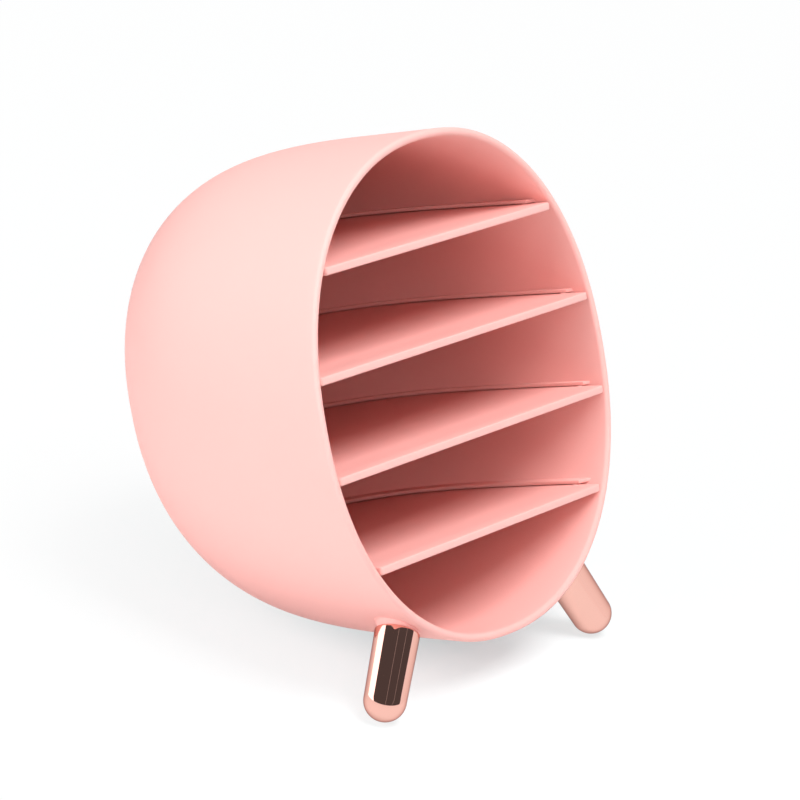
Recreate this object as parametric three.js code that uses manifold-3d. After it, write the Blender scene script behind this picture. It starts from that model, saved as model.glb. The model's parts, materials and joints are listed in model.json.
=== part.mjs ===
// Countertop organizer: a deep round bowl laid on its side with its mouth towards the user.
// Four loose shelves slide on moulded rails inside it. Two plated legs prop up the mouth, and the
// underside of the bowl rests on a soft pad at the rear, so the whole bowl leans back.
// Millimetres. The bowl is drawn in its own frame, x to the right, y from the rim plane to the
// closed back and z up along the rim plane, and is leaned back onto the counter at the end.
import * as THREE from "three";
import { mergeVertices } from "three/addons/utils/BufferGeometryUtils.js";
import Module from "manifold-3d";

const wasm = await Module();
wasm.setup();

// Bowl
const rimHalfSize = 95.2;
const bowlDepth = 126.9;
const wallThickness = 3.1;
const wallDraw = 7.2;
const backRiseEven = 9.69;
const backRiseCurved = 4.55;
const rimOuterRounding = 1.55;
const rimInnerRounding = 1.2;
const sectionPower = 2.19;
const domePower = 4.76;

// Shelves, from the top one down: height of each underside at its front edge
const shelfHeights = [53.55, 15.95, -20.65, -56.55];
const shelfThickness = 3;
const shelfSetback = 0.6;
const shelfSideClearance = 0.4;
const shelfCornerRadius = 1.2;
const shelfEdgeRounding = 0.4;
const shelfRiseAngle = 3.76;
const nubSetback = 9.7;
const nubLength = 2.6;
const nubWidth = 1.8;
const nubHeight = 0.4;
const nubEdgeDistance = 1.7;

// Rails moulded into the bowl's wall, one under and one over each shelf
const railThickness = 1.1;
const railRoot = 1.4;
const railSetback = 5.4;
const railLead = 3;
const lowerRailBearing = 3;
const upperRailDepth = 1.9;
const upperRailCover = 1;
const upperRailGap = 0.7;

// Legs, each on a collar of the bowl
const legAngle = 34.7;
const legDepth = 12.4;
const legTopRadius = 8.45;
const legTipRadius = 8;
const legTaperLength = 26.6;
const legEdgeRounding = 0.5;
const collarHeight = 2.45;
const collarRadius = 7.8;
const collarFlareRadius = 9.2;
const collarNeck = 1.2;
const collarRoot = 4;
const collarEdgeRounding = 0.3;
const studRadius = 2;
const studDepthInLeg = 12;
const studDepthInBoss = 3.8;
const studChamfer = 0.4;
const insertWall = 0.9;
const insertLength = 4.2;
const insertGrooveWidth = 1.2;
const insertGrooveDepth = 0.35;

// Rear foot: a flat land under the lowest point of the leaning bowl, with a soft pad on it
const landRadius = 12;
const landHeight = 0.5;
const landRoot = 2.3;
const padRadius = 10.5;
const padThickness = 1.2;
const padEdgeRounding = 0.4;

const seatGap = 0.3;
const overrun = 2;

// Fineness of the curved forms
const ringPoints = 64;
const wallRings = 14;
const rimSteps = 3;
const outlineSteps = 12;
const cornerSteps = 3;
const searchSteps = 60;
const turnedSides = 32;
const smallSides = 16;
const nubSides = 10;
const nubBands = 6;
const capSteps = 6;
const edgeSteps = 2;

const quarterTurn = Math.PI / 2;
const shelfTilt = THREE.MathUtils.degToRad(shelfRiseAngle);
const legSplay = THREE.MathUtils.degToRad(legAngle);

// Value between two limits up to which a test holds
function lastHolding(test, start, end) {
  let holds = start;
  let fails = end;
  for (let i = 0; i < searchSteps; i++) {
    const middle = (holds + fails) / 2;
    if (test(middle)) holds = middle;
    else fails = middle;
  }
  return holds;
}

// Half size of the bowl's cross-section at a depth, for the surface that lies inset inside the outer one
function sectionHalfSize(depth, inset) {
  const along = THREE.MathUtils.clamp(depth / (bowlDepth - inset), 0, 1);
  return (rimHalfSize - inset - wallDraw * along) * Math.sqrt(1 - along ** domePower);
}

// Height of the cross-section's middle: the bowl's axis climbs towards the back
function sectionRise(depth) {
  const along = depth / bowlDepth;
  return backRiseEven * along + backRiseCurved * along * along;
}

function sectionHalfWidth(depth, height, inset) {
  const half = sectionHalfSize(depth, inset);
  const away = Math.abs(height - sectionRise(depth));
  return away < half ? (half ** sectionPower - away ** sectionPower) ** (1 / sectionPower) : 0;
}

// One squared-off round ring of the bowl, in a plane parallel to the rim
function sectionRing(depth, halfSize) {
  return Array.from({ length: ringPoints }, (_, i) => {
    const turn = (4 * quarterTurn * i) / ringPoints;
    const across = Math.cos(turn);
    const up = Math.sin(turn);
    const squareness = Math.abs(across) ** sectionPower + Math.abs(up) ** sectionPower;
    const radius = halfSize * squareness ** (-1 / sectionPower);
    return [radius * across, depth, sectionRise(depth) + radius * up];
  });
}

// Closed body through rings of equal point counts, with a pole in the middle of each end
function loft(rings, frontPole, backPole) {
  const points = [frontPole, ...rings.flat(), backPole];
  const faces = [];
  const at = (ring, i) => 1 + ring * ringPoints + (i % ringPoints);
  for (let i = 0; i < ringPoints; i++) {
    faces.push(0, at(0, i), at(0, i + 1));
    faces.push(points.length - 1, at(rings.length - 1, i + 1), at(rings.length - 1, i));
    for (let ring = 0; ring + 1 < rings.length; ring++) {
      faces.push(at(ring, i), at(ring + 1, i), at(ring, i + 1));
      faces.push(at(ring, i + 1), at(ring + 1, i), at(ring + 1, i + 1));
    }
  }
  const geometry = new THREE.BufferGeometry();
  geometry.setAttribute("position", new THREE.Float32BufferAttribute(points.flat(), 3));
  geometry.setIndex(faces);
  return solidOf(geometry);
}

// A three.js geometry as a solid, with shared corners merged and faces of no area left out
function solidOf(geometry, frame = new THREE.Matrix4()) {
  const bare = geometry.clone().applyMatrix4(frame);
  bare.deleteAttribute("normal");
  bare.deleteAttribute("uv");
  const merged = mergeVertices(bare);
  const corners = merged.index.array;
  const kept = [];
  for (let i = 0; i < corners.length; i += 3) {
    const [a, b, c] = corners.slice(i, i + 3);
    if (a !== b && b !== c && c !== a) kept.push(a, b, c);
  }
  return new wasm.Manifold(
    new wasm.Mesh({
      numProp: 3,
      vertProperties: new Float32Array(merged.attributes.position.array),
      triVerts: new Uint32Array(kept),
    }),
  );
}

function meshOf(name, solid, material) {
  const { vertProperties, triVerts } = solid.getMesh();
  const geometry = new THREE.BufferGeometry();
  geometry.setAttribute("position", new THREE.BufferAttribute(vertProperties, 3));
  geometry.setIndex(new THREE.BufferAttribute(triVerts, 1));
  geometry.computeVertexNormals();
  const mesh = new THREE.Mesh(geometry, material);
  mesh.name = name;
  return mesh;
}

// Body turned about the z axis from a profile of [radius, height] pairs that runs upwards
function turned(profile, sides, frame) {
  const geometry = new THREE.LatheGeometry(
    profile.map(([radius, height]) => new THREE.Vector2(radius, height)),
    sides,
  );
  return solidOf(geometry.rotateX(quarterTurn), frame);
}

// Points of an arc between two angles, for the rounded edges of turned profiles
function arc(centreRadius, centreHeight, radius, fromTurn, toTurn, steps) {
  return Array.from({ length: steps + 1 }, (_, i) => {
    const turn = fromTurn + ((toTurn - fromTurn) * i) / steps;
    return [centreRadius + radius * Math.cos(turn), centreHeight + radius * Math.sin(turn)];
  });
}

// Skin of the bowl at an inset, from the rim plane to the back
function wallRingsAt(inset, startDepth) {
  const rings = [];
  for (let i = 0; i < wallRings; i++) {
    const even = (bowlDepth - inset) * Math.sin((quarterTurn * i) / wallRings);
    const depth = Math.max(even, startDepth);
    if (i === 0 || depth > startDepth) rings.push(sectionRing(depth, sectionHalfSize(depth, inset)));
  }
  return rings;
}

// Rounded edge of the rim, from its flat face to where the wall begins
function edgeRings(rounding, faceInset, wallInset) {
  return Array.from({ length: rimSteps }, (_, i) => {
    const turn = (quarterTurn * i) / rimSteps;
    const depth = rounding * (1 - Math.cos(turn));
    const inset = faceInset + (wallInset - faceInset) * Math.sin(turn);
    return sectionRing(depth, sectionHalfSize(depth, inset));
  });
}

function outerBody() {
  const lip = edgeRings(rimOuterRounding, rimOuterRounding, 0);
  const rings = [...lip, ...wallRingsAt(0, rimOuterRounding)];
  return loft(rings, [0, 0, 0], [0, bowlDepth, sectionRise(bowlDepth)]);
}

function cavityBody() {
  const mouthInset = wallThickness - rimInnerRounding;
  const opening = sectionRing(-overrun, sectionHalfSize(0, mouthInset));
  const mouth = edgeRings(rimInnerRounding, mouthInset, wallThickness);
  const rings = [opening, ...mouth, ...wallRingsAt(wallThickness, rimInnerRounding)];
  const back = bowlDepth - wallThickness;
  return loft(rings, [0, -overrun, 0], [0, back, sectionRise(back)]);
}

// A shelf's own frame: x across, y along the shelf from its front edge, z up from its underside
function shelfFrame(height) {
  return new THREE.Matrix4()
    .makeRotationX(shelfTilt)
    .setPosition(0, shelfSetback, height);
}

// Half width inside the bowl at a distance along a shelf, over a slice between two lifts off its underside
function sliceHalfWidth(height, lifts, inset) {
  return (along) => {
    const widths = lifts.map((lift) => {
      const depth = shelfSetback + along * Math.cos(shelfTilt) - lift * Math.sin(shelfTilt);
      const level = height + along * Math.sin(shelfTilt) + lift * Math.cos(shelfTilt);
      return sectionHalfWidth(depth, level, inset);
    });
    return Math.min(...widths);
  };
}

// The same for the slice that a shelf fills, less a distance from the shelf's edge
function shelfHalfWidth(height, fromEdge) {
  return sliceHalfWidth(height, [0, shelfThickness], wallThickness + shelfSideClearance + fromEdge);
}

// Right-hand side of an outline, from a start to the point where both sides meet
function sideOutline(start, halfWidthAt) {
  const end = lastHolding((along) => halfWidthAt(along) > 0, 0, 2 * bowlDepth);
  const side = [];
  for (let i = 0; i < outlineSteps; i++) {
    const along = start + (end - start) * Math.sin((quarterTurn * i) / outlineSteps);
    side.push(new THREE.Vector2(halfWidthAt(along), along));
  }
  side.push(new THREE.Vector2(0, end));
  return side;
}

function mirrored(side) {
  return side
    .filter((point) => point.x > 0)
    .map((point) => new THREE.Vector2(-point.x, point.y))
    .reverse();
}

function shelfBody(height) {
  const side = sideOutline(shelfCornerRadius, shelfHalfWidth(height, 0));
  const front = side[0].x;
  const outline = new THREE.Shape();
  outline.moveTo(shelfCornerRadius - front, 0);
  outline.lineTo(front - shelfCornerRadius, 0);
  outline.quadraticCurveTo(front, 0, front, shelfCornerRadius);
  side.slice(1).forEach((point) => outline.lineTo(point.x, point.y));
  mirrored(side).forEach((point) => outline.lineTo(point.x, point.y));
  outline.quadraticCurveTo(-front, 0, shelfCornerRadius - front, 0);
  const plate = new THREE.ExtrudeGeometry(outline, {
    depth: shelfThickness - 2 * shelfEdgeRounding,
    bevelThickness: shelfEdgeRounding,
    bevelSize: shelfEdgeRounding,
    bevelOffset: -shelfEdgeRounding,
    bevelSegments: 1,
    curveSegments: cornerSteps,
  });
  plate.translate(0, 0, shelfEdgeRounding);
  const nub = new THREE.SphereGeometry(1, nubSides, nubBands);
  nub.scale(nubWidth / 2, nubLength / 2, nubHeight);
  const nubCentre = shelfHalfWidth(height, nubEdgeDistance)(nubSetback);
  let body = solidOf(plate);
  for (const place of [-nubCentre, nubCentre]) {
    const frame = new THREE.Matrix4().makeTranslation(place, nubSetback, shelfThickness);
    body = body.add(solidOf(nub, frame));
  }
  return body;
}

// A rail runs round the wall in the shelf's frame, as a slice above a base, with tapered front tips
function railBody(height, base, faceHalfWidth) {
  const slice = [base, base + railThickness];
  const root = sideOutline(railSetback, sliceHalfWidth(height, slice, wallThickness - railRoot));
  const face = sideOutline(railSetback + railLead, faceHalfWidth);
  const inner = [...face, ...mirrored(face)].reverse();
  const outline = new THREE.Shape([...root, ...mirrored(root), ...inner]);
  const rail = new THREE.ExtrudeGeometry(outline, { depth: railThickness, bevelEnabled: false });
  rail.translate(0, 0, base);
  return solidOf(rail, shelfFrame(height));
}

// The lower rail reaches in under the shelf's edge
function lowerRailBody(height) {
  return railBody(height, -seatGap - railThickness, shelfHalfWidth(height, lowerRailBearing));
}

// The upper rail is an even lip, deeper only where the wall stands far from the shelf's edge
function upperRailBody(height) {
  const base = shelfThickness + upperRailGap;
  const slice = [base, base + railThickness];
  const lip = sliceHalfWidth(height, slice, wallThickness + upperRailDepth);
  const cover = shelfHalfWidth(height, upperRailCover);
  return railBody(height, base, (along) => Math.min(lip(along), cover(along)));
}

// Distance from the bowl's middle line to the leg's top: out to the wall and on through the collar
function insideAlongLeg(distance) {
  const across = distance * Math.sin(legSplay);
  const height = -distance * Math.cos(legSplay);
  return across < sectionHalfWidth(legDepth, height, 0);
}

const legSeatDistance = lastHolding(insideAlongLeg, 0, 2 * rimHalfSize) + collarHeight;

// A leg's frame: origin at the middle of its flat top, z along its axis towards the middle of the bowl
function legFrame(side) {
  const frame = new THREE.Matrix4().makeRotationY(-side * legSplay);
  const inward = new THREE.Vector3(0, 0, 1).applyMatrix4(frame);
  const seat = inward.multiplyScalar(-legSeatDistance);
  return frame.setPosition(seat.x, legDepth, seat.z);
}

const insertRadius = studRadius + seatGap + insertWall;

// Collar with a small flare where it grows out of the wall
function collarBody() {
  const flare = collarFlareRadius - collarRadius;
  const edge = [collarRadius - collarEdgeRounding, seatGap + collarEdgeRounding, collarEdgeRounding];
  return turned(
    [
      [0, seatGap],
      ...arc(...edge, -quarterTurn, 0, edgeSteps),
      ...arc(collarFlareRadius, seatGap + collarNeck, flare, 2 * quarterTurn, quarterTurn, capSteps / 2),
      [collarFlareRadius, seatGap + collarRoot],
      [0, seatGap + collarRoot],
    ],
    turnedSides,
  );
}

function collarBore() {
  const radius = insertRadius + seatGap;
  const top = seatGap + insertLength + seatGap;
  return turned(
    [
      [0, -overrun],
      [radius, -overrun],
      [radius, top],
      [0, top],
    ],
    smallSides,
  );
}

function legBody() {
  const bore = studRadius + seatGap;
  const boreEnd = -studDepthInLeg - seatGap;
  const profile = [
    ...arc(0, -legTaperLength, legTipRadius, -quarterTurn, 0, capSteps),
    ...arc(legTopRadius - legEdgeRounding, -legEdgeRounding, legEdgeRounding, 0, quarterTurn, edgeSteps),
    [bore, 0],
    [bore, boreEnd],
    [0, boreEnd],
  ];
  return turned(profile, turnedSides);
}

function studBody() {
  const top = seatGap + studDepthInBoss;
  return turned(
    [
      [0, -studDepthInLeg],
      [studRadius - studChamfer, -studDepthInLeg],
      [studRadius, studChamfer - studDepthInLeg],
      [studRadius, top - studChamfer],
      [studRadius - studChamfer, top],
      [0, top],
    ],
    smallSides,
  );
}

// Threaded sleeve with a waist groove that the plastic grips
function insertBody() {
  const bore = studRadius + seatGap;
  const waist = insertRadius - insertGrooveDepth;
  const middle = insertLength / 2;
  const halfGroove = insertGrooveWidth / 2;
  const sleeve = turned(
    [
      [0, 0],
      [insertRadius, 0],
      [insertRadius, middle - halfGroove],
      [waist, middle - halfGroove],
      [waist, middle + halfGroove],
      [insertRadius, middle + halfGroove],
      [insertRadius, insertLength],
      [0, insertLength],
    ],
    smallSides,
  );
  const hole = turned(
    [
      [0, -overrun],
      [bore, -overrun],
      [bore, insertLength + overrun],
      [0, insertLength + overrun],
    ],
    smallSides,
  );
  return sleeve.subtract(hole);
}

const footDrop = landHeight + seatGap + padThickness;

function undersideHeight(depth) {
  return sectionRise(depth) - sectionHalfSize(depth, 0);
}

// Level over the counter of a point on the bowl's middle plane, less that of the rim plane's middle
function levelWhenLeaned(depth, height, angle) {
  return height * Math.cos(angle) - depth * Math.sin(angle);
}

// Depth of the lowest point of the underside, found by narrowing the stretch that holds it
function lowestDepth(angle) {
  let front = 0;
  let back = bowlDepth;
  for (let i = 0; i < 2 * searchSteps; i++) {
    const third = (back - front) / 3;
    const nearFront = levelWhenLeaned(front + third, undersideHeight(front + third), angle);
    const nearBack = levelWhenLeaned(back - third, undersideHeight(back - third), angle);
    if (nearFront < nearBack) back -= third;
    else front += third;
  }
  return front;
}

// The bowl leans back until the pad under its lowest point is level with the leg tips
function footIsHigher(angle) {
  const depth = lowestDepth(angle);
  const tipHeight = -(legSeatDistance + legTaperLength) * Math.cos(legSplay);
  const padLevel = levelWhenLeaned(depth, undersideHeight(depth), angle) - footDrop;
  return padLevel > levelWhenLeaned(legDepth, tipHeight, angle) - legTipRadius;
}

const lean = lastHolding(footIsHigher, 0, quarterTurn);

// The foot's frame stands upright on the counter, with its origin on the underside of the bowl
function footFrame() {
  const depth = lowestDepth(lean);
  return new THREE.Matrix4().makeRotationX(lean).setPosition(0, depth, undersideHeight(depth));
}

function landBody() {
  return turned(
    [
      [0, -landHeight],
      [landRadius - landHeight, -landHeight],
      [landRadius, 0],
      [landRadius, landRoot],
      [0, landRoot],
    ],
    turnedSides,
    footFrame(),
  );
}

function padBody() {
  const bottom = -footDrop;
  const top = bottom + padThickness;
  const edge = [padRadius - padEdgeRounding, bottom + padEdgeRounding, padEdgeRounding];
  return turned(
    [[0, bottom], ...arc(...edge, -quarterTurn, 0, edgeSteps), [padRadius, top], [0, top]],
    turnedSides,
  );
}

function bowlBody() {
  let bowl = outerBody();
  for (const side of [-1, 1]) bowl = bowl.add(transformed(collarBody(), legFrame(side)));
  bowl = bowl.add(landBody());
  bowl = bowl.subtract(cavityBody());
  for (const side of [-1, 1]) bowl = bowl.subtract(transformed(collarBore(), legFrame(side)));
  for (const height of shelfHeights) {
    bowl = bowl.add(lowerRailBody(height));
    bowl = bowl.add(upperRailBody(height));
  }
  return bowl;
}

function transformed(solid, frame) {
  return solid.transform(frame.elements);
}

function finish(color, roughness, metalness) {
  return new THREE.MeshStandardMaterial({ color, roughness, metalness });
}

function placed(mesh, frame) {
  mesh.applyMatrix4(frame);
  return mesh;
}

const organizer = new THREE.Group();
const bowlGroup = new THREE.Group();
bowlGroup.rotation.x = -lean;
organizer.add(bowlGroup);

bowlGroup.add(meshOf("bowl_shell", bowlBody(), finish(0xf3b5ae, 0.5, 0)));
shelfHeights.forEach((height, i) => {
  const shelf = meshOf(`shelf_${i + 1}`, shelfBody(height), finish(0xf4bab2, 0.45, 0));
  bowlGroup.add(placed(shelf, shelfFrame(height)));
});
for (const [side, word] of [
  [-1, "left"],
  [1, "right"],
]) {
  const frame = legFrame(side);
  bowlGroup.add(placed(meshOf(`leg_${word}`, legBody(), finish(0xe8a592, 0.08, 1)), frame));
  bowlGroup.add(placed(meshOf(`leg_stud_${word}`, studBody(), finish(0x9a9da1, 0.35, 1)), frame));
  const sleeveFrame = frame.clone().multiply(new THREE.Matrix4().makeTranslation(0, 0, seatGap));
  const sleeve = meshOf(`collar_insert_${word}`, insertBody(), finish(0xb5914a, 0.35, 1));
  bowlGroup.add(placed(sleeve, sleeveFrame));
}
bowlGroup.add(placed(meshOf("rear_pad", padBody(), finish(0xe9e4e0, 0.8, 0)), footFrame()));

// Stand the organizer on z = 0 with the middle of its footprint box at the origin
organizer.updateMatrixWorld(true);
const box = new THREE.Box3().setFromObject(organizer, true);
const middle = box.getCenter(new THREE.Vector3());
bowlGroup.position.set(-middle.x, -middle.y, -box.min.z);
organizer.updateMatrixWorld(true);

export default organizer;
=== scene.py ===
import json
import math

import bpy
from mathutils import Matrix, Vector


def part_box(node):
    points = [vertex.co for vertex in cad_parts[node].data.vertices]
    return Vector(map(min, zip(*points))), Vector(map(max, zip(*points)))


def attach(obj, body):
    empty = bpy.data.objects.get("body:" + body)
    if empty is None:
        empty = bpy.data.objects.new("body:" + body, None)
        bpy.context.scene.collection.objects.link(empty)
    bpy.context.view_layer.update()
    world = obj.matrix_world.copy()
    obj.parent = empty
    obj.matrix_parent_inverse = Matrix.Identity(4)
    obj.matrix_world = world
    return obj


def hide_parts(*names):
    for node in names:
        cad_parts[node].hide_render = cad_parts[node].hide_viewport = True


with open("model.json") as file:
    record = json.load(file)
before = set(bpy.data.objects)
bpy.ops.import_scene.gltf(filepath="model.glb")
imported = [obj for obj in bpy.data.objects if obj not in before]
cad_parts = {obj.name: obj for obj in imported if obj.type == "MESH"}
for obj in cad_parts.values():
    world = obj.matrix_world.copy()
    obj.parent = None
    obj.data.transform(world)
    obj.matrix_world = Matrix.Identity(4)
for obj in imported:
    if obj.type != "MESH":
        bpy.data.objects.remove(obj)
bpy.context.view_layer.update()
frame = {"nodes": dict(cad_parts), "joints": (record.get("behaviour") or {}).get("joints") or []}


# Camera
# A long lens looks down at the open mouth from the front left, and is turned a little in the hand,
# so that the object's upright leans to the right in the picture.
scene = bpy.context.scene
CAMERA_PLACE = Vector((-1.52383, -0.91185, 0.73166))
CAMERA_SIGHT = Vector((0.810606, 0.475553, -0.341712))
CAMERA_ROLL = math.radians(11.48)
CAMERA_LENS_MM = 225.762
CAMERA_SENSOR_MM = 36
FARTHEST_SEEN = 50
camera_data = bpy.data.cameras.new("camera")
camera_data.sensor_width = CAMERA_SENSOR_MM
camera_data.lens = CAMERA_LENS_MM
camera_data.clip_end = FARTHEST_SEEN
camera = bpy.data.objects.new("camera", camera_data)
level = CAMERA_SIGHT.to_track_quat("-Z", "Y").to_matrix().to_4x4()
camera.matrix_world = Matrix.Translation(CAMERA_PLACE) @ level @ Matrix.Rotation(CAMERA_ROLL, 4, "Z")
scene.collection.objects.link(camera)
scene.camera = camera
scene.view_settings.view_transform = "Standard"


# Studio
# The object stands on a white sheet in a white room, and a little way off the sheet is seen as
# bright as the room. The sheet's shadow is painted: near a point under the object's front the
# camera sees the lit sheet at half its colour plus a bluish glow that lightens the shadow and greys
# its pink bounce, and with distance from that point this fades to plain white. Broad soft lamps
# light it from the left, from above the open mouth and a little from the camera's side.
def node_tree_of(owner):
    owner.use_nodes = True
    owner.node_tree.nodes.clear()
    return owner.node_tree.nodes, owner.node_tree.links


def seen_directly(nodes, links):
    """1 for what the camera sees, also mirrored or through glass, and 0 for what lights a thing."""
    path = nodes.new("ShaderNodeLightPath")
    either = nodes.new("ShaderNodeMath")
    either.operation = "MAXIMUM"
    links.new(path.outputs["Is Camera Ray"], either.inputs[0])
    links.new(path.outputs["Is Glossy Ray"], either.inputs[1])
    any_of_three = nodes.new("ShaderNodeMath")
    any_of_three.operation = "MAXIMUM"
    links.new(either.outputs[0], any_of_three.inputs[0])
    links.new(path.outputs["Is Transmission Ray"], any_of_three.inputs[1])
    return any_of_three.outputs[0]


WHITE = (1, 1, 1, 1)
ROOM_TINT = (1.0, 0.985, 0.975, 1)
ROOM_LIGHT = 0.09
world = bpy.data.worlds.new("white_room")
scene.world = world
nodes, links = node_tree_of(world)
ambient = nodes.new("ShaderNodeBackground")
ambient.inputs["Color"].default_value = ROOM_TINT
ambient.inputs["Strength"].default_value = ROOM_LIGHT
white = nodes.new("ShaderNodeBackground")
white.inputs["Color"].default_value = WHITE
mix = nodes.new("ShaderNodeMixShader")
links.new(seen_directly(nodes, links), mix.inputs["Fac"])
links.new(ambient.outputs[0], mix.inputs[1])
links.new(white.outputs[0], mix.inputs[2])
links.new(mix.outputs[0], nodes.new("ShaderNodeOutputWorld").inputs["Surface"])

FLOOR_SIZE = 14
PAPER = (0.85, 0.85, 0.85, 1)
# Painted shadow: near the object the camera sees the lit paper at half strength plus a bluish glow that
# lightens and greys the shadow, faded to white with distance from the shadow's middle.
SEEN_PAPER = (0.5, 0.5, 0.5, 1)
SHADOW_LIGHTENING_GLOW = (0.41, 0.48, 0.49, 1)
SHADOW_MIDDLE = (0.02, -0.06, 0)
SHADOW_REACH = 0.2
WHITE_AT_REACH_SHARE = ((0.08, 0), (0.32, 0.55), (0.62, 0.66), (1, 1))
bpy.ops.object.select_all(action="DESELECT")
bpy.ops.mesh.primitive_plane_add(size=FLOOR_SIZE)
floor = bpy.context.object
floor.name = "floor"
sheet = bpy.data.materials.new("white_sheet")
nodes, links = node_tree_of(sheet)
paper = nodes.new("ShaderNodeBsdfDiffuse")
paper.inputs["Color"].default_value = PAPER
seen_paper = nodes.new("ShaderNodeBsdfDiffuse")
seen_paper.inputs["Color"].default_value = SEEN_PAPER
glow = nodes.new("ShaderNodeEmission")
glow.inputs["Color"].default_value = SHADOW_LIGHTENING_GLOW
added = nodes.new("ShaderNodeAddShader")
links.new(seen_paper.outputs[0], added.inputs[0])
links.new(glow.outputs[0], added.inputs[1])
# Painted shadow reach: the seen sheet turns to plain white with distance from the shadow's middle.
place = nodes.new("ShaderNodeTexCoord")
reach = nodes.new("ShaderNodeVectorMath")
reach.operation = "DISTANCE"
reach.inputs[1].default_value = SHADOW_MIDDLE
links.new(place.outputs["Object"], reach.inputs[0])
share = nodes.new("ShaderNodeMapRange")
share.inputs["From Max"].default_value = SHADOW_REACH
links.new(reach.outputs["Value"], share.inputs["Value"])
fade = nodes.new("ShaderNodeValToRGB")
fade.color_ramp.interpolation = "B_SPLINE"
while len(fade.color_ramp.elements) < len(WHITE_AT_REACH_SHARE):
    fade.color_ramp.elements.new(1)
for element, (at, whiteness) in zip(fade.color_ramp.elements, WHITE_AT_REACH_SHARE):
    element.position = at
    element.color = (whiteness, whiteness, whiteness, 1)
links.new(share.outputs[0], fade.inputs["Fac"])
far_white = nodes.new("ShaderNodeEmission")
far_white.inputs["Color"].default_value = WHITE
faded = nodes.new("ShaderNodeMixShader")
links.new(fade.outputs[0], faded.inputs["Fac"])
links.new(added.outputs[0], faded.inputs[1])
links.new(far_white.outputs[0], faded.inputs[2])
mix = nodes.new("ShaderNodeMixShader")
links.new(seen_directly(nodes, links), mix.inputs["Fac"])
links.new(paper.outputs[0], mix.inputs[1])
links.new(faded.outputs[0], mix.inputs[2])
links.new(mix.outputs[0], nodes.new("ShaderNodeOutputMaterial").inputs["Surface"])
floor.data.materials.append(sheet)


LAMP_SIZE = 1.2
LAMP_AIM = Vector((0, 0, 0.1))


def soft_lamp(name, place, watts):
    """A broad square lamp that is turned to the object. No reflection shows it."""
    data = bpy.data.lights.new(name, "AREA")
    data.size = LAMP_SIZE
    data.energy = watts
    lamp = bpy.data.objects.new(name, data)
    aim = LAMP_AIM - Vector(place)
    lamp.matrix_world = Matrix.Translation(place) @ aim.to_track_quat("-Z", "Y").to_matrix().to_4x4()
    lamp.visible_glossy = False
    scene.collection.objects.link(lamp)


soft_lamp("lamp_left", (-1.9, 0.5, 0.9), watts=28)
soft_lamp("lamp_over_mouth", (0, -0.7, 2.0), watts=46)
soft_lamp("lamp_near_camera", (-1.5, -1.1, 1.1), watts=9)


# Bowl
# One deep moulding of matte pink plastic, squared off a little in section, with its mouth to the
# front and a round closed back. Its wall is 3.1 mm thick and draws in slightly towards the back.
RIM_HALF_SIZE = 0.0952
BOWL_DEPTH = 0.1269
WALL_THICKNESS = 0.0031
WALL_DRAW = 0.0072
BACK_RISE_EVEN = 0.00969
BACK_RISE_CURVED = 0.00455
RIM_OUTER_ROUNDING = 0.00155
RIM_INNER_ROUNDING = 0.0015
SECTION_POWER = 2.19
DOME_POWER = 4.76
FOOT_DROP = 0.002
SHELF_RISE = math.radians(3.76)
BOWL_SIDES = 192
WALL_RINGS = 60
LIP_RINGS = 8
QUARTER_TURN = math.pi / 2
HALVINGS = 60
SMALL_STEP = 1e-6
FOOT_SEARCH_SHARE = 0.9

# The shelves slide along their own slope, so the first joint of the frame tells how far the bowl leans.
shelf_slide = Vector(frame["joints"][0]["axis"])
LEAN = math.asin(shelf_slide.z) + SHELF_RISE


def section_half_size(depth, inset):
    along = min(max(depth / (BOWL_DEPTH - inset), 0), 1)
    return (RIM_HALF_SIZE - inset - WALL_DRAW * along) * math.sqrt(1 - along ** DOME_POWER)


def section_rise(depth):
    along = depth / BOWL_DEPTH
    return BACK_RISE_EVEN * along + BACK_RISE_CURVED * along * along


def section_half_width(depth, height, inset):
    half = section_half_size(depth, inset)
    away = abs(height - section_rise(depth))
    if away >= half:
        return 0
    return (half ** SECTION_POWER - away ** SECTION_POWER) ** (1 / SECTION_POWER)


def last_holding(test, start, end):
    """The value between two limits up to which a test holds."""
    for _ in range(HALVINGS):
        middle = (start + end) / 2
        if test(middle):
            start = middle
        else:
            end = middle
    return start


# The bowl's own frame has its origin in the middle of the rim plane, y into the bowl and z up along
# the rim plane. It is found from the pad, which stands upright under the lowest point of the bowl.
leaned = Matrix.Rotation(-LEAN, 4, "X")


def underside_height(depth):
    return section_rise(depth) - section_half_size(depth, 0)


def underside_level(depth):
    """Height of the underside once the bowl is leaned. A Vector would round it too much to compare."""
    return underside_height(depth) * math.cos(LEAN) - depth * math.sin(LEAN)


def still_sinks(depth):
    return underside_level(depth + SMALL_STEP) < underside_level(depth)


foot_depth = last_holding(still_sinks, 0, FOOT_SEARCH_SHARE * BOWL_DEPTH)
foot_in_bowl = leaned @ Vector((0, foot_depth, underside_height(foot_depth)))
pad_low, pad_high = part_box("rear_pad")
foot_on_counter = Vector((0, (pad_low.y + pad_high.y) / 2, FOOT_DROP))
bowl_frame = Matrix.Translation(foot_on_counter - foot_in_bowl) @ leaned


def extrude_rings(rings):
    """In edit mode, draws the selected loop out through (centre, radius) rings and closes a radius of 0."""
    centre, radius = rings[0]
    for next_centre, next_radius in rings[1:]:
        step = next_centre - centre
        bpy.ops.mesh.extrude_region_move(TRANSFORM_OT_translate={"value": step})
        if next_radius == 0:
            bpy.ops.mesh.merge(type="CENTER")
        else:
            ratio = next_radius / radius
            bpy.ops.transform.resize(value=(ratio, ratio, ratio), center_override=next_centre)
        centre, radius = next_centre, next_radius


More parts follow.
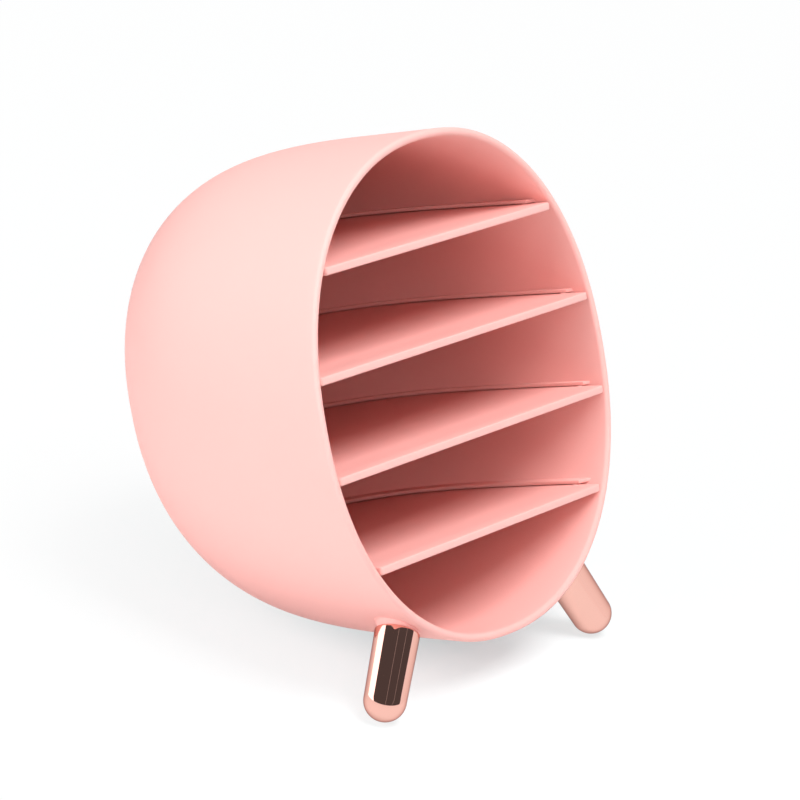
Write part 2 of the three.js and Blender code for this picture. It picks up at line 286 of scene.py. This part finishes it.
def ringed_body(name, rings, sides, along_y=False, power=2):
    """A closed body from a disc that is drawn out ring by ring and closed at the other pole. The rings
    are round with power 2 and squarer above it."""
    bpy.ops.object.select_all(action="DESELECT")
    bpy.ops.mesh.primitive_circle_add(vertices=sides, radius=1, fill_type="TRIFAN")
    body = bpy.context.object
    body.name = name
    centre, radius = rings[0]
    for vertex in body.data.vertices:
        across, up = vertex.co.x, vertex.co.y
        squareness = abs(across) ** power + abs(up) ** power
        reach = radius * squareness ** (-1 / power) if squareness else 0
        offset = (reach * across, 0, reach * up) if along_y else (reach * across, reach * up, 0)
        vertex.co = centre + Vector(offset)
    bpy.ops.object.mode_set(mode="EDIT")
    bpy.ops.mesh.select_mode(type="EDGE")
    bpy.ops.mesh.select_all(action="SELECT")
    bpy.ops.mesh.region_to_loop()
    extrude_rings(rings)
    bpy.ops.mesh.select_all(action="SELECT")
    bpy.ops.mesh.normals_make_consistent(inside=False)
    bpy.ops.object.mode_set(mode="OBJECT")
    return body


def settle(piece, placing, smooth_angle):
    """Puts a finished piece in its place on the object, with the place in its mesh, and shades it."""
    piece.matrix_world = placing @ piece.matrix_world
    bpy.ops.object.select_all(action="DESELECT")
    piece.select_set(True)
    bpy.context.view_layer.objects.active = piece
    bpy.ops.object.transform_apply(location=True, rotation=True, scale=True)
    bpy.ops.object.shade_smooth_by_angle(angle=smooth_angle)


def bowl_ring(depth, inset):
    return Vector((0, depth, section_rise(depth))), section_half_size(depth, inset)


def bowl_rings():
    """From the outer pole of the back to the lip, round it, and down the inner wall to its pole."""
    outer, lip, mouth, inner = [], [], [], []
    for i in range(1, WALL_RINGS + 1):
        turn = QUARTER_TURN * i / WALL_RINGS
        outer.append(bowl_ring(BOWL_DEPTH - (BOWL_DEPTH - RIM_OUTER_ROUNDING) * (1 - math.cos(turn)), 0))
        reach = BOWL_DEPTH - WALL_THICKNESS - RIM_INNER_ROUNDING
        inner.append(bowl_ring(RIM_INNER_ROUNDING + reach * math.sin(turn), WALL_THICKNESS))
    for i in range(1, LIP_RINGS + 1):
        turn = QUARTER_TURN * i / LIP_RINGS
        rounding = RIM_OUTER_ROUNDING
        lip.append(bowl_ring(rounding * (1 - math.sin(turn)), rounding * (1 - math.cos(turn))))
        rounding = RIM_INNER_ROUNDING
        inset = WALL_THICKNESS - rounding * (1 - math.sin(turn))
        mouth.append(bowl_ring(rounding * (1 - math.cos(turn)), inset))
    inner[-1] = (inner[-1][0], 0)
    return outer + lip + mouth + inner


ROUND_SMOOTHING = math.radians(40)
bowl = ringed_body("bowl", bowl_rings(), BOWL_SIDES, along_y=True, power=SECTION_POWER)
settle(bowl, bowl_frame, ROUND_SMOOTHING)


# The moulding's surface is a fine even spark-eroded grain, with the faintest drift of tone over it.
GRAIN_DETAIL = 2
DRIFT_SCALE = 22
DRIFT_DETAIL = 3
TONE_DRIFT = 0.03
ROUGHNESS_PER_TONE = 2
GRAIN_BUMP = 0.6
PLASTIC_IOR = 1.5
PLASTIC_SHINE = 0.25
PINK = (0.95, 0.505, 0.468)


def moulded_grain_group():
    group = bpy.data.node_groups.new("moulded_grain", "ShaderNodeTree")
    group.interface.new_socket("Colour", in_out="INPUT", socket_type="NodeSocketColor")
    for word in ("Grain Size", "Tone Drift", "Roughness"):
        group.interface.new_socket(word, in_out="INPUT", socket_type="NodeSocketFloat")
    group.interface.new_socket("Colour", in_out="OUTPUT", socket_type="NodeSocketColor")
    for word in ("Roughness", "Height"):
        group.interface.new_socket(word, in_out="OUTPUT", socket_type="NodeSocketFloat")
    nodes, links = group.nodes, group.links
    given = nodes.new("NodeGroupInput")
    out = nodes.new("NodeGroupOutput")
    place = nodes.new("ShaderNodeTexCoord")
    fineness = nodes.new("ShaderNodeMath")
    fineness.operation = "DIVIDE"
    fineness.inputs[0].default_value = 1
    links.new(given.outputs["Grain Size"], fineness.inputs[1])
    grain = nodes.new("ShaderNodeTexNoise")
    grain.inputs["Detail"].default_value = GRAIN_DETAIL
    links.new(place.outputs["Object"], grain.inputs["Vector"])
    links.new(fineness.outputs[0], grain.inputs["Scale"])
    links.new(grain.outputs["Fac"], out.inputs["Height"])
    drift = nodes.new("ShaderNodeTexNoise")
    drift.inputs["Scale"].default_value = DRIFT_SCALE
    drift.inputs["Detail"].default_value = DRIFT_DETAIL
    links.new(place.outputs["Object"], drift.inputs["Vector"])
    centred = nodes.new("ShaderNodeMath")
    centred.operation = "SUBTRACT"
    centred.inputs[1].default_value = 0.5
    links.new(drift.outputs["Fac"], centred.inputs[0])
    swing = nodes.new("ShaderNodeMath")
    swing.operation = "MULTIPLY"
    links.new(centred.outputs[0], swing.inputs[0])
    links.new(given.outputs["Tone Drift"], swing.inputs[1])
    value = nodes.new("ShaderNodeMath")
    value.operation = "ADD"
    value.inputs[1].default_value = 1
    links.new(swing.outputs[0], value.inputs[0])
    tone = nodes.new("ShaderNodeHueSaturation")
    links.new(value.outputs[0], tone.inputs["Value"])
    links.new(given.outputs["Colour"], tone.inputs["Color"])
    links.new(tone.outputs["Color"], out.inputs["Colour"])
    rough = nodes.new("ShaderNodeMath")
    rough.operation = "MULTIPLY_ADD"
    links.new(swing.outputs[0], rough.inputs[0])
    rough.inputs[1].default_value = ROUGHNESS_PER_TONE
    links.new(given.outputs["Roughness"], rough.inputs[2])
    links.new(rough.outputs[0], out.inputs["Roughness"])
    return group


moulded_grain = moulded_grain_group()


def moulded_plastic(name, colour, roughness, grain_size, grain_depth):
    material = bpy.data.materials.new(name)
    nodes, links = node_tree_of(material)
    grain = nodes.new("ShaderNodeGroup")
    grain.node_tree = moulded_grain
    grain.inputs["Colour"].default_value = (*colour, 1)
    grain.inputs["Grain Size"].default_value = grain_size
    grain.inputs["Tone Drift"].default_value = TONE_DRIFT
    grain.inputs["Roughness"].default_value = roughness
    bump = nodes.new("ShaderNodeBump")
    bump.inputs["Strength"].default_value = GRAIN_BUMP
    bump.inputs["Distance"].default_value = grain_depth
    shader = nodes.new("ShaderNodeBsdfPrincipled")
    shader.inputs["IOR"].default_value = PLASTIC_IOR
    shader.inputs["Specular IOR Level"].default_value = PLASTIC_SHINE
    links.new(grain.outputs["Colour"], shader.inputs["Base Color"])
    links.new(grain.outputs["Roughness"], shader.inputs["Roughness"])
    links.new(grain.outputs["Height"], bump.inputs["Height"])
    links.new(bump.outputs["Normal"], shader.inputs["Normal"])
    links.new(shader.outputs[0], nodes.new("ShaderNodeOutputMaterial").inputs["Surface"])
    return material


pink_plastic = moulded_plastic(
    "pink_plastic", PINK, roughness=0.55, grain_size=0.0006, grain_depth=0.00004
)
bowl.data.materials.append(pink_plastic)
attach(bowl, "bowl")
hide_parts("bowl_shell")


# Rails
# Two thin rails per shelf are moulded in one with the bowl and run right round its wall: a ledge
# under the shelf's edge and a shallow lip over it, both with front ends that taper into the wall.
SHELF_HEIGHTS = (0.05355, 0.01595, -0.02065, -0.05655)
SHELF_THICKNESS = 0.003
SHELF_SETBACK = 0.0006
SHELF_SIDE_CLEARANCE = 0.0004
LOWER_RAIL_THICKNESS = 0.0011
UPPER_RAIL_THICKNESS = 0.00135
RAIL_ROOT = 0.0014
RAIL_SETBACK = 0.0054
RAIL_LEAD = 0.003
RAIL_ROUNDING = 0.0002
LOWER_RAIL_GAP = 0.0001
LOWER_RAIL_BEARING = 0.003
UPPER_RAIL_DEPTH = 0.0019
UPPER_RAIL_COVER = 0.001
UPPER_RAIL_GAP = 0.00035
OUTLINE_STEPS = 40
EDGE_SEGMENTS = 3
SHARP_ANGLE = math.radians(50)
PLATE_SMOOTHING = math.radians(35)


def shelf_frame(height):
    rise = Matrix.Rotation(SHELF_RISE, 4, "X")
    return bowl_frame @ Matrix.Translation((0, SHELF_SETBACK, height)) @ rise


def slice_half_width(height, lifts, inset):
    """Gives the half width inside the bowl at a distance along a shelf, for a slice that lies
    between lifts off the shelf's underside."""
    def at(along):
        widths = []
        for lift in lifts:
            depth = SHELF_SETBACK + along * math.cos(SHELF_RISE) - lift * math.sin(SHELF_RISE)
            level = height + along * math.sin(SHELF_RISE) + lift * math.cos(SHELF_RISE)
            widths.append(section_half_width(depth, level, inset))
        return min(widths)
    return at


def shelf_half_width(height, from_edge):
    inset = WALL_THICKNESS + SHELF_SIDE_CLEARANCE + from_edge
    return slice_half_width(height, (0, SHELF_THICKNESS), inset)


def side_outline(start, half_width_at):
    """Right-hand points of an outline, from a start to where both sides meet at the back."""
    end = last_holding(lambda along: half_width_at(along) > 0, 0, 2 * BOWL_DEPTH)
    side = []
    for i in range(OUTLINE_STEPS):
        along = start + (end - start) * math.sin(QUARTER_TURN * i / OUTLINE_STEPS)
        side.append((half_width_at(along), along))
    return side + [(0, end)]


def mirrored(side):
    return [(-x, y) for x, y in reversed(side) if x > 0]


def outlined_plate(name, outline, thickness, rounding):
    """A flat plate of a drawn outline, with its edges rounded."""
    bpy.ops.object.select_all(action="DESELECT")
    bpy.ops.mesh.primitive_circle_add(vertices=len(outline), radius=1, fill_type="NGON")
    plate = bpy.context.object
    plate.name = name
    for vertex, (x, y) in zip(plate.data.vertices, outline):
        vertex.co = (x, y, 0)
    bpy.ops.object.mode_set(mode="EDIT")
    bpy.ops.mesh.select_all(action="SELECT")
    bpy.ops.mesh.extrude_region_move(TRANSFORM_OT_translate={"value": (0, 0, thickness)})
    bpy.ops.mesh.select_all(action="SELECT")
    bpy.ops.mesh.normals_make_consistent(inside=False)
    bpy.ops.object.mode_set(mode="OBJECT")
    bevel = plate.modifiers.new("rounding", "BEVEL")
    bevel.width = rounding
    bevel.segments = EDGE_SEGMENTS
    bevel.limit_method = "ANGLE"
    bevel.angle_limit = SHARP_ANGLE
    bpy.ops.object.modifier_apply(modifier=bevel.name)
    return plate


def rail(name, height, base, thickness, face_half_width):
    lifts = (base, base + thickness)
    root = side_outline(RAIL_SETBACK, slice_half_width(height, lifts, WALL_THICKNESS - RAIL_ROOT))
    face = side_outline(RAIL_SETBACK + RAIL_LEAD, face_half_width)
    outline = root + mirrored(root) + list(reversed(face + mirrored(face)))
    piece = outlined_plate(name, outline, thickness, RAIL_ROUNDING)
    settle(piece, shelf_frame(height) @ Matrix.Translation((0, 0, base)), PLATE_SMOOTHING)
    piece.data.materials.append(pink_plastic)
    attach(piece, "bowl")


for number, height in enumerate(SHELF_HEIGHTS, start=1):
    base = -LOWER_RAIL_GAP - LOWER_RAIL_THICKNESS
    ledge = shelf_half_width(height, LOWER_RAIL_BEARING)
    rail(f"rail_under_shelf_{number}", height, base, LOWER_RAIL_THICKNESS, ledge)
    base = SHELF_THICKNESS + UPPER_RAIL_GAP
    lifts = (base, base + UPPER_RAIL_THICKNESS)
    lip = slice_half_width(height, lifts, WALL_THICKNESS + UPPER_RAIL_DEPTH)
    cover = shelf_half_width(height, UPPER_RAIL_COVER)
    name = f"rail_over_shelf_{number}"
    rail(name, height, base, UPPER_RAIL_THICKNESS, lambda along: min(lip(along), cover(along)))


# Shelves
# Loose plates of the same plastic, smoother than the bowl, cut to its inner wall. They slide in
# from the front, and a small nub near each front corner jams under the upper rail.
SHELF_CORNER_RADIUS = 0.0012
SHELF_EDGE_ROUNDING = 0.0006
SHELF_CORNER_STEPS = 8
NUB_SETBACK = 0.0097
NUB_EDGE_DISTANCE = 0.0017
NUB_HALF_SIZE = (0.001, 0.0014, 0.00034)
NUB_SIDES = 24
NUB_RINGS = 12

shelf_plastic = moulded_plastic(
    "shelf_plastic", PINK, roughness=0.42, grain_size=0.0008, grain_depth=0.00002
)


def shelf_outline(height):
    side = side_outline(SHELF_CORNER_RADIUS, shelf_half_width(height, 0))
    front = side[0][0] - SHELF_CORNER_RADIUS
    corner = []
    for i in range(SHELF_CORNER_STEPS):
        turn = QUARTER_TURN * i / SHELF_CORNER_STEPS
        x = front + SHELF_CORNER_RADIUS * math.sin(turn)
        corner.append((x, SHELF_CORNER_RADIUS * (1 - math.cos(turn))))
    half = corner + side
    return half + mirrored(half)


def add_nub(shelf, x):
    bpy.ops.object.select_all(action="DESELECT")
    bpy.ops.mesh.primitive_uv_sphere_add(segments=NUB_SIDES, ring_count=NUB_RINGS, radius=1)
    nub = bpy.context.object
    nub.scale = NUB_HALF_SIZE
    nub.location = (x, NUB_SETBACK, SHELF_THICKNESS)
    bpy.ops.object.transform_apply(location=True, rotation=True, scale=True)
    union = shelf.modifiers.new("nub", "BOOLEAN")
    union.operation = "UNION"
    union.object = nub
    bpy.context.view_layer.objects.active = shelf
    bpy.ops.object.modifier_apply(modifier=union.name)
    bpy.data.objects.remove(nub)


for number, height in enumerate(SHELF_HEIGHTS, start=1):
    outline = shelf_outline(height)
    shelf = outlined_plate(f"shelf_plate_{number}", outline, SHELF_THICKNESS, SHELF_EDGE_ROUNDING)
    nub_x = shelf_half_width(height, NUB_EDGE_DISTANCE)(NUB_SETBACK)
    for x in (-nub_x, nub_x):
        add_nub(shelf, x)
    settle(shelf, shelf_frame(height), PLATE_SMOOTHING)
    shelf.data.materials.append(shelf_plastic)
    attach(shelf, f"shelf_{number}")
    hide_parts(f"shelf_{number}")


# Collars and land
# The bowl carries a short round collar for each leg, with a soft fillet where it grows out of the
# wall, and a flat round land underneath that the pad is glued to.
LEG_SPLAY = math.radians(34.7)
LEG_DEPTH = 0.0124
COLLAR_HEIGHT = 0.00245
COLLAR_RADIUS = 0.0078
COLLAR_FLARE = 0.0014
COLLAR_NECK = 0.0012
COLLAR_ROOT = 0.0034
COLLAR_EDGE_ROUNDING = 0.0003
COLLAR_GAP = 0.0002
LAND_RADIUS = 0.012
LAND_HEIGHT = 0.0005
LAND_ROOT = 0.0023
TURNED_SIDES = 96
END_DISC_RADIUS = 0.0002


def turned_body(name, profile):
    """Body turned about z from (radius, height) pairs, from a small disc below up to its upper pole."""
    rings = [(Vector((0, 0, height)), radius) for radius, height in profile]
    return ringed_body(name, rings, TURNED_SIDES)


def arc(centre_radius, centre_height, radius, start, end, steps):
    """Profile points of an arc, between two directions in degrees from straight out."""
    points = []
    for i in range(steps + 1):
        turn = math.radians(start + (end - start) * i / steps)
        points.append((centre_radius + radius * math.cos(turn), centre_height + radius * math.sin(turn)))
    return points


def inside_along_leg(distance):
    across = distance * math.sin(LEG_SPLAY)
    return across < section_half_width(LEG_DEPTH, -distance * math.cos(LEG_SPLAY), 0)


LEG_SEAT_DISTANCE = last_holding(inside_along_leg, 0, 2 * RIM_HALF_SIZE) + COLLAR_HEIGHT


def leg_frame(side):
    """Origin in the middle of the leg's flat top, z along its axis towards the middle of the bowl."""
    splay = Matrix.Rotation(-side * LEG_SPLAY, 4, "Y")
    seat = splay @ Vector((0, 0, -LEG_SEAT_DISTANCE))
    return bowl_frame @ Matrix.Translation((seat.x, LEG_DEPTH, seat.z)) @ splay


edge = COLLAR_EDGE_ROUNDING
collar_profile = [
    (END_DISC_RADIUS, COLLAR_GAP),
    *arc(COLLAR_RADIUS - edge, COLLAR_GAP + edge, edge, start=-90, end=0, steps=5),
    *arc(
        COLLAR_RADIUS + COLLAR_FLARE,
        COLLAR_GAP + COLLAR_NECK,
        COLLAR_FLARE,
        start=180,
        end=90,
        steps=10,
    ),
    (COLLAR_RADIUS + COLLAR_FLARE, COLLAR_ROOT),
    (0, COLLAR_ROOT),
]
for side, word in ((-1, "left"), (1, "right")):
    collar = turned_body(f"collar_{word}", collar_profile)
    settle(collar, leg_frame(side), ROUND_SMOOTHING)
    collar.data.materials.append(pink_plastic)
    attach(collar, "bowl")

land_profile = [
    (END_DISC_RADIUS, -LAND_HEIGHT),
    (LAND_RADIUS - LAND_HEIGHT, -LAND_HEIGHT),
    (LAND_RADIUS, 0),
    (LAND_RADIUS, LAND_ROOT),
    (0, LAND_ROOT),
]
land = turned_body("pad_land", land_profile)
settle(land, Matrix.Translation(foot_on_counter), ROUND_SMOOTHING)
land.data.materials.append(pink_plastic)
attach(land, "bowl")


# Legs
# Zinc pins, cast and polished, slightly tapered to a round tip, and plated in mirror rose gold.
# Each is screwed up tight against its collar.
LEG_TOP_RADIUS = 0.00845
LEG_TIP_RADIUS = 0.008
LEG_TAPER_LENGTH = 0.0266
LEG_EDGE_ROUNDING = 0.0003
LEG_HOLD = 0.0003
ROSE_GOLD = (0.92, 0.51, 0.43, 1)
ROSE_GOLD_AT_EDGES = (0.45, 0.35, 0.35, 1)
PLATING_ROUGHNESS = (0.02, 0.045)
PLATING_WAVE_SCALE = 90
PLATING_WAVE_DETAIL = 4
PLATING_WAVE_BUMP = 0.15
PLATING_WAVE_DEPTH = 0.00002


def taper_point(height):
    share = (-LEG_EDGE_ROUNDING - height) / (LEG_TAPER_LENGTH - LEG_EDGE_ROUNDING)
    return LEG_TOP_RADIUS + (LEG_TIP_RADIUS - LEG_TOP_RADIUS) * share, height


# The tip starts from a small disc, a degree off its pole. A ring close to each end of the taper
# keeps its shading straight up to the round ends.
edge = LEG_EDGE_ROUNDING
leg_profile = [
    *arc(0, -LEG_TAPER_LENGTH, LEG_TIP_RADIUS, start=-89, end=0, steps=32),
    taper_point(LEG_HOLD - LEG_TAPER_LENGTH),
    taper_point(-edge - LEG_HOLD),
    *arc(LEG_TOP_RADIUS - edge, -edge, edge, start=0, end=90, steps=6),
    (0, 0),
]


def rose_gold():
    """Mirror plating with the slightest unevenness, as polished castings have."""
    material = bpy.data.materials.new("rose_gold_plating")
    nodes, links = node_tree_of(material)
    place = nodes.new("ShaderNodeTexCoord")
    wave = nodes.new("ShaderNodeTexNoise")
    wave.inputs["Scale"].default_value = PLATING_WAVE_SCALE
    wave.inputs["Detail"].default_value = PLATING_WAVE_DETAIL
    links.new(place.outputs["Object"], wave.inputs["Vector"])
    rough = nodes.new("ShaderNodeMapRange")
    rough.inputs["To Min"].default_value = PLATING_ROUGHNESS[0]
    rough.inputs["To Max"].default_value = PLATING_ROUGHNESS[1]
    links.new(wave.outputs["Fac"], rough.inputs["Value"])
    bump = nodes.new("ShaderNodeBump")
    bump.inputs["Strength"].default_value = PLATING_WAVE_BUMP
    bump.inputs["Distance"].default_value = PLATING_WAVE_DEPTH
    links.new(wave.outputs["Fac"], bump.inputs["Height"])
    shader = nodes.new("ShaderNodeBsdfPrincipled")
    shader.inputs["Base Color"].default_value = ROSE_GOLD
    shader.inputs["Specular Tint"].default_value = ROSE_GOLD_AT_EDGES
    shader.inputs["Metallic"].default_value = 1
    links.new(rough.outputs[0], shader.inputs["Roughness"])
    links.new(bump.outputs["Normal"], shader.inputs["Normal"])
    links.new(shader.outputs[0], nodes.new("ShaderNodeOutputMaterial").inputs["Surface"])
    return material


plating = rose_gold()
for side, word in ((-1, "left"), (1, "right")):
    leg = turned_body(f"leg_pin_{word}", leg_profile)
    settle(leg, leg_frame(side), ROUND_SMOOTHING)
    leg.data.materials.append(plating)
    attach(leg, "bowl")
    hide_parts(f"leg_{word}")


# Painted reflections for the plating
# Glowing strips that only reflections see paint the plating's reflections: a nearly black strip in
# an arc around the left leg's axis, a bright strip beside it and two thin grey lines in the dark one.
# They run from high over the bowl down to the sheet and cast no shadow. Arcs are in degrees around
# the axis.
CARD_DISTANCE = 1.2
CARD_TOP_FROM_AXIS = math.radians(58)
CARD_FOOT_FROM_AXIS = math.radians(144)
BRIGHT_ARC = range(112, 152)
BLACK_ARC = range(152, 303)
GREY_LINES = (223, 264)
CARD_PARTS = 360


def card(name, arc_degrees, brightness):
    """A strip cut from a cone around the leg's axis, with one face for each degree of its arc."""
    top = CARD_DISTANCE * math.cos(CARD_TOP_FROM_AXIS)
    foot = CARD_DISTANCE * math.cos(CARD_FOOT_FROM_AXIS)
    bpy.ops.object.select_all(action="DESELECT")
    bpy.ops.mesh.primitive_cone_add(
        vertices=CARD_PARTS,
        radius1=CARD_DISTANCE * math.sin(CARD_FOOT_FROM_AXIS),
        radius2=CARD_DISTANCE * math.sin(CARD_TOP_FROM_AXIS),
        depth=top - foot,
        end_fill_type="NOTHING",
        location=(0, 0, (top + foot) / 2),
    )
    strip = bpy.context.object
    strip.name = name
    for face in strip.data.polygons:
        turn = math.degrees(math.atan2(face.center.y, face.center.x)) % 360
        face.select = int(turn) not in arc_degrees
    scene.tool_settings.mesh_select_mode = (False, False, True)
    bpy.ops.object.mode_set(mode="EDIT")
    bpy.ops.mesh.delete(type="FACE")
    bpy.ops.object.mode_set(mode="OBJECT")
    settle(strip, leg_frame(-1), PLATE_SMOOTHING)
    # Each strip is a painted reflection: it glows at its brightness though it is no lamp, and only
    # reflections see it.
    material = bpy.data.materials.new(name)
    nodes, links = node_tree_of(material)
    glow = nodes.new("ShaderNodeEmission")
    glow.inputs["Strength"].default_value = brightness
    links.new(glow.outputs[0], nodes.new("ShaderNodeOutputMaterial").inputs["Surface"])
    strip.data.materials.append(material)
    strip.visible_camera = False
    strip.visible_diffuse = False
    strip.visible_transmission = False
    strip.visible_shadow = False


card("painted_bright_reflection", BRIGHT_ARC, brightness=2.3)
card("painted_dark_reflection", [turn for turn in BLACK_ARC if turn not in GREY_LINES], brightness=0.08)
card("painted_grey_reflection_lines", GREY_LINES, brightness=0.55)


# Studs and inserts
# Inside each joint a zinc plated steel stud runs from the leg into a brass sleeve in the collar.
# They are the frame's own solids and are out of sight, so they only get their metals.
ZINC_PLATED_STEEL = (0.60, 0.61, 0.63, 1)
TURNED_BRASS = (0.71, 0.57, 0.29, 1)
ROUGHNESS_SWING = 0.08


def plain_metal(name, colour, roughness, grain_size):
    """Plain metal, whose roughness varies in a fine grain."""
    material = bpy.data.materials.new(name)
    nodes, links = node_tree_of(material)
    place = nodes.new("ShaderNodeTexCoord")
    grain = nodes.new("ShaderNodeTexNoise")
    grain.inputs["Scale"].default_value = 1 / grain_size
    links.new(place.outputs["Object"], grain.inputs["Vector"])
    rough = nodes.new("ShaderNodeMapRange")
    rough.inputs["To Min"].default_value = roughness - ROUGHNESS_SWING
    rough.inputs["To Max"].default_value = roughness + ROUGHNESS_SWING
    links.new(grain.outputs["Fac"], rough.inputs["Value"])
    shader = nodes.new("ShaderNodeBsdfPrincipled")
    shader.inputs["Base Color"].default_value = colour
    shader.inputs["Metallic"].default_value = 1
    links.new(rough.outputs[0], shader.inputs["Roughness"])
    links.new(shader.outputs[0], nodes.new("ShaderNodeOutputMaterial").inputs["Surface"])
    return material


steel = plain_metal("zinc_plated_steel", ZINC_PLATED_STEEL, roughness=0.35, grain_size=0.0006)
brass = plain_metal("turned_brass", TURNED_BRASS, roughness=0.32, grain_size=0.0005)
for word in ("left", "right"):
    for node, metal in ((f"leg_stud_{word}", steel), (f"collar_insert_{word}", brass)):
        mesh = frame["nodes"][node].data
        mesh.materials.clear()
        mesh.materials.append(metal)


# Rear pad
# A soft off-white silicone disc with a rounded lower edge, glued under the bowl's land, that grips
# the counter and carries the back of the organizer.
PAD_RADIUS = 0.0105
PAD_THICKNESS = 0.0015
PAD_EDGE_ROUNDING = 0.0004
PAD_WHITE = (0.84, 0.81, 0.79)

edge = PAD_EDGE_ROUNDING
pad_profile = [
    (END_DISC_RADIUS, -FOOT_DROP),
    *arc(PAD_RADIUS - edge, edge - FOOT_DROP, edge, start=-90, end=0, steps=6),
    (PAD_RADIUS, PAD_THICKNESS - FOOT_DROP),
    (0, PAD_THICKNESS - FOOT_DROP),
]
silicone = moulded_plastic(
    "silicone", PAD_WHITE, roughness=0.75, grain_size=0.0009, grain_depth=0.00003
)
pad = turned_body("grip_pad", pad_profile)
settle(pad, Matrix.Translation(foot_on_counter), ROUND_SMOOTHING)
pad.data.materials.append(silicone)
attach(pad, "bowl")
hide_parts("rear_pad")
